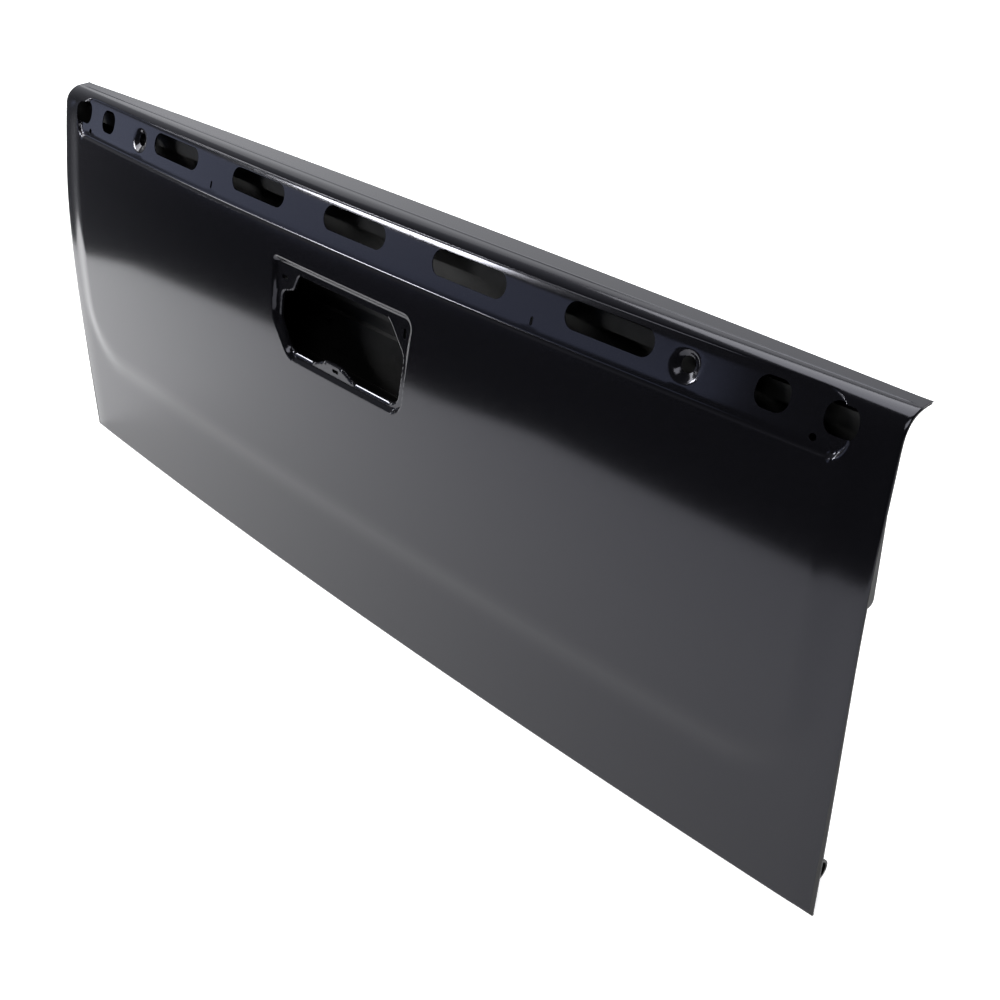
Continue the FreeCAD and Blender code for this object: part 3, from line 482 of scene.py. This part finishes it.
def skin_cell(x, v):
    """Wanted face size on the skin: fine along creases and round holes."""
    size = np.full(x.shape, 14.0)
    for outline, fine, reach in ((FIELD, 9, 16), (BAND, 1.3, 2.6), (HANDLE, 1.1, 5.5), (MOUTH, 1.1, 2.2)):
        away = np.abs(distance(x, v, outline))
        size = np.minimum(size, np.maximum(fine, fine + (away - reach) * 0.6))
    for outline in SLOTS + ROUND_HOLES + DIMPLE_HOLES + PIN_HOLES + NOTCHES + FLANGE_SLOTS:
        away = np.abs(distance(x, v, outline))
        size = np.minimum(size, np.maximum(1.3, 1.3 + (away - 1.5) * 0.8))
    for dimple_x, dimple_z in DIMPLES:
        reach = np.hypot(x - dimple_x, v - dimple_z)
        size = np.minimum(size, np.maximum(1.6, 1.6 + (reach - 20) * 0.6))
    return np.where(v > BAND_CREASE[1], 14.0, size)


skin = blank("outer_skin_sheet", COLUMNS, ROWS)
refine(skin, skin_cell, 4)
pierce(skin, HOLES)
points = mesh_points(skin)
flat_x, flat_v = points[:, 0] / MM, points[:, 1] / MM
_, height = base_surface(flat_x, flat_v)
share = np.clip((np.abs(flat_x) - TAPER_START) / (HALF_FOOT - TAPER_START), 0, 1)
stretched = flat_x + np.sign(flat_x) * share * (end_place(height) - HALF_FOOT)
depth, height = drawn_surface(stretched, flat_v)
depth -= SHELL_DEPTH - REAR
set_points(skin, np.stack([stretched, depth, height], axis=1) * MM)

# The mouth's edge is turned in by a second stroke of the press.
mouth_near = nearest(stretched, height, MOUTH)[1]
on_mouth = rim_vertices(skin) & (np.abs(mouth_near) < 0.4)
deselect_all()
skin.select_set(True)
bpy.context.view_layer.objects.active = skin
bpy.context.tool_settings.mesh_select_mode = (True, False, False)
skin.data.polygons.foreach_set("select", np.zeros(len(skin.data.polygons), bool))
skin.data.edges.foreach_set("select", np.zeros(len(skin.data.edges), bool))
skin.data.vertices.foreach_set("select", on_mouth)
bpy.ops.object.mode_set(mode="EDIT")
bpy.ops.mesh.extrude_region_move(TRANSFORM_OT_translate={"value": (0, LIP_LENGTH * MM, 0)})
bpy.ops.mesh.select_all(action="SELECT")
bpy.ops.mesh.normals_make_consistent(inside=False)
bpy.ops.object.mode_set(mode="OBJECT")
front_face = max(skin.data.polygons, key=lambda face: face.area)
if front_face.normal.y > 0:
    select_faces(skin, np.ones(len(skin.data.polygons), bool))
    bpy.ops.mesh.flip_normals()
    bpy.ops.object.mode_set(mode="OBJECT")
use_modifier(skin, "SOLIDIFY", thickness=SHEET * MM, offset=-1, use_even_offset=True)
deselect_all()
skin.select_set(True)
bpy.context.view_layer.objects.active = skin
bpy.ops.object.shade_smooth_by_angle(angle=math.radians(38))

coat, coat_shader, coat_place = new_material("black_dip_coat", Roughness=0.13, IOR=1.4)
coat_shader.inputs["Base Color"].default_value = linear("#0D0D10")
coat_shader.inputs["Specular Tint"].default_value = linear("#EFF0FF")
coat_grain = add_node(coat, "ShaderNodeTexNoise", {"Scale": 120, "Detail": 2}, {"Vector": coat_place})
coat_sheen = add_node(coat, "ShaderNodeMapRange", {"To Min": 0.11, "To Max": 0.15}, {"Value": coat_grain.outputs["Fac"]})
coat.node_tree.links.new(coat_sheen.outputs["Result"], coat_shader.inputs["Roughness"])
wear(skin, coat)
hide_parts("outer_skin")
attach(skin, "root")

# Inner sheets, walls, plates and hats: mild steel 1.2 to 3 mm, pressed, spot welded to each other and
# dipped in black primer before the outside is polished, so they stay duller than the skin. The dip
# dries a little uneven, in patches of about 8 mm. Their near-black tone is partly the primer's black
# and partly painted shade, which keeps the inside of the shell dark through the slots and the mouth.
inner, inner_shader, inner_place = new_material("black_primer_and_painted_shade", Roughness=0.5, IOR=1.45)
PATCH = 8
inner_noise = add_node(inner, "ShaderNodeTexNoise", {"Scale": 1000 / PATCH, "Detail": 3}, {"Vector": inner_place})
# Base colour: the primer's black, pushed further towards black as painted shade for the inside of the shell.
primer_and_painted_shade_tone = add_node(inner, "ShaderNodeMapRange", {"To Min": 0.0024, "To Max": 0.0052},
                      {"Value": inner_noise.outputs["Fac"]})
inner_sheen = add_node(inner, "ShaderNodeMapRange", {"To Min": 0.42, "To Max": 0.6},
                       {"Value": inner_noise.outputs["Fac"]})
inner.node_tree.links.new(primer_and_painted_shade_tone.outputs["Result"], inner_shader.inputs["Base Color"])
inner.node_tree.links.new(inner_sheen.outputs["Result"], inner_shader.inputs["Roughness"])
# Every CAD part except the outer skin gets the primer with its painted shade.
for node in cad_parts.values():
    if node.name != "outer_skin":
        wear(node, inner)


# Cover screws: ten blackened M5 button heads with a socket, which hold the access cover on its seat.
# Each goes through cover and seat into a clip behind them.
COVER_FACE = REAR - 2.8
HEAD_RADIUS, HEAD_HEIGHT, HEAD_ROUND = 6, 2.6, 1.5
SOCKET_RADIUS, SOCKET_DEPTH = 2, 1.3
SHANK_RADIUS, SHANK_LENGTH = 2.5, 11
SCREW_REACH, SCREW_RISE, COVER_LEVEL = 458, 104, 295


def pick_end(piece, towards):
    """Selects the biggest face that looks towards the bed (1) or the skin (-1)."""
    normals = np.array([face.normal.y * towards > 0.9 for face in piece.data.polygons])
    select_faces(piece, normals & (face_areas(piece) == face_areas(piece)[normals].max()))


deselect_all()
bpy.ops.mesh.primitive_cylinder_add(
    vertices=24, radius=HEAD_RADIUS * MM, depth=HEAD_HEIGHT * MM, rotation=(math.pi / 2, 0, 0),
    location=(0, (COVER_FACE + HEAD_HEIGHT / 2) * MM, 0))
screw = bpy.context.object
bpy.ops.object.transform_apply(location=True, rotation=True, scale=True)
pick_end(screw, 1)
bpy.ops.mesh.bevel(offset=HEAD_ROUND * MM, segments=3, affect="EDGES")
bpy.ops.object.mode_set(mode="OBJECT")
pick_end(screw, 1)
bpy.ops.mesh.inset(thickness=(HEAD_RADIUS - HEAD_ROUND - SOCKET_RADIUS) * MM)
bpy.ops.mesh.extrude_region_move(TRANSFORM_OT_translate={"value": (0, -SOCKET_DEPTH * MM, 0)})
bpy.ops.object.mode_set(mode="OBJECT")
pick_end(screw, -1)
bpy.ops.mesh.inset(thickness=(HEAD_RADIUS - SHANK_RADIUS) * MM)
bpy.ops.mesh.extrude_region_move(TRANSFORM_OT_translate={"value": (0, -SHANK_LENGTH * MM, 0)})
bpy.ops.object.mode_set(mode="OBJECT")
deselect_all()
screw.select_set(True)
bpy.context.view_layer.objects.active = screw
bpy.ops.object.shade_smooth_by_angle(angle=math.radians(38))

blackened, blackened_shader, blackened_place = new_material("blackened_screw_steel", Metallic=1, Roughness=0.4)
blackened_shader.inputs["Base Color"].default_value = linear("#3A3A3E")
head_places = [(-SCREW_REACH, 0), (SCREW_REACH, 0)]
for share in (-0.9, -0.3, 0.3, 0.9):
    head_places += [(SCREW_REACH * share, -SCREW_RISE), (SCREW_REACH * share, SCREW_RISE)]
for number, (x, z) in enumerate(head_places, 1):
    piece = screw.copy()
    piece.data = screw.data.copy()
    piece.name = piece.data.name = f"cover_screw_{number}"
    bpy.context.scene.collection.objects.link(piece)
    set_points(piece, mesh_points(piece) + np.array((x, 0, COVER_LEVEL + z)) * MM)
    wear(piece, blackened)
    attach(piece, "root")
bpy.data.objects.remove(screw)
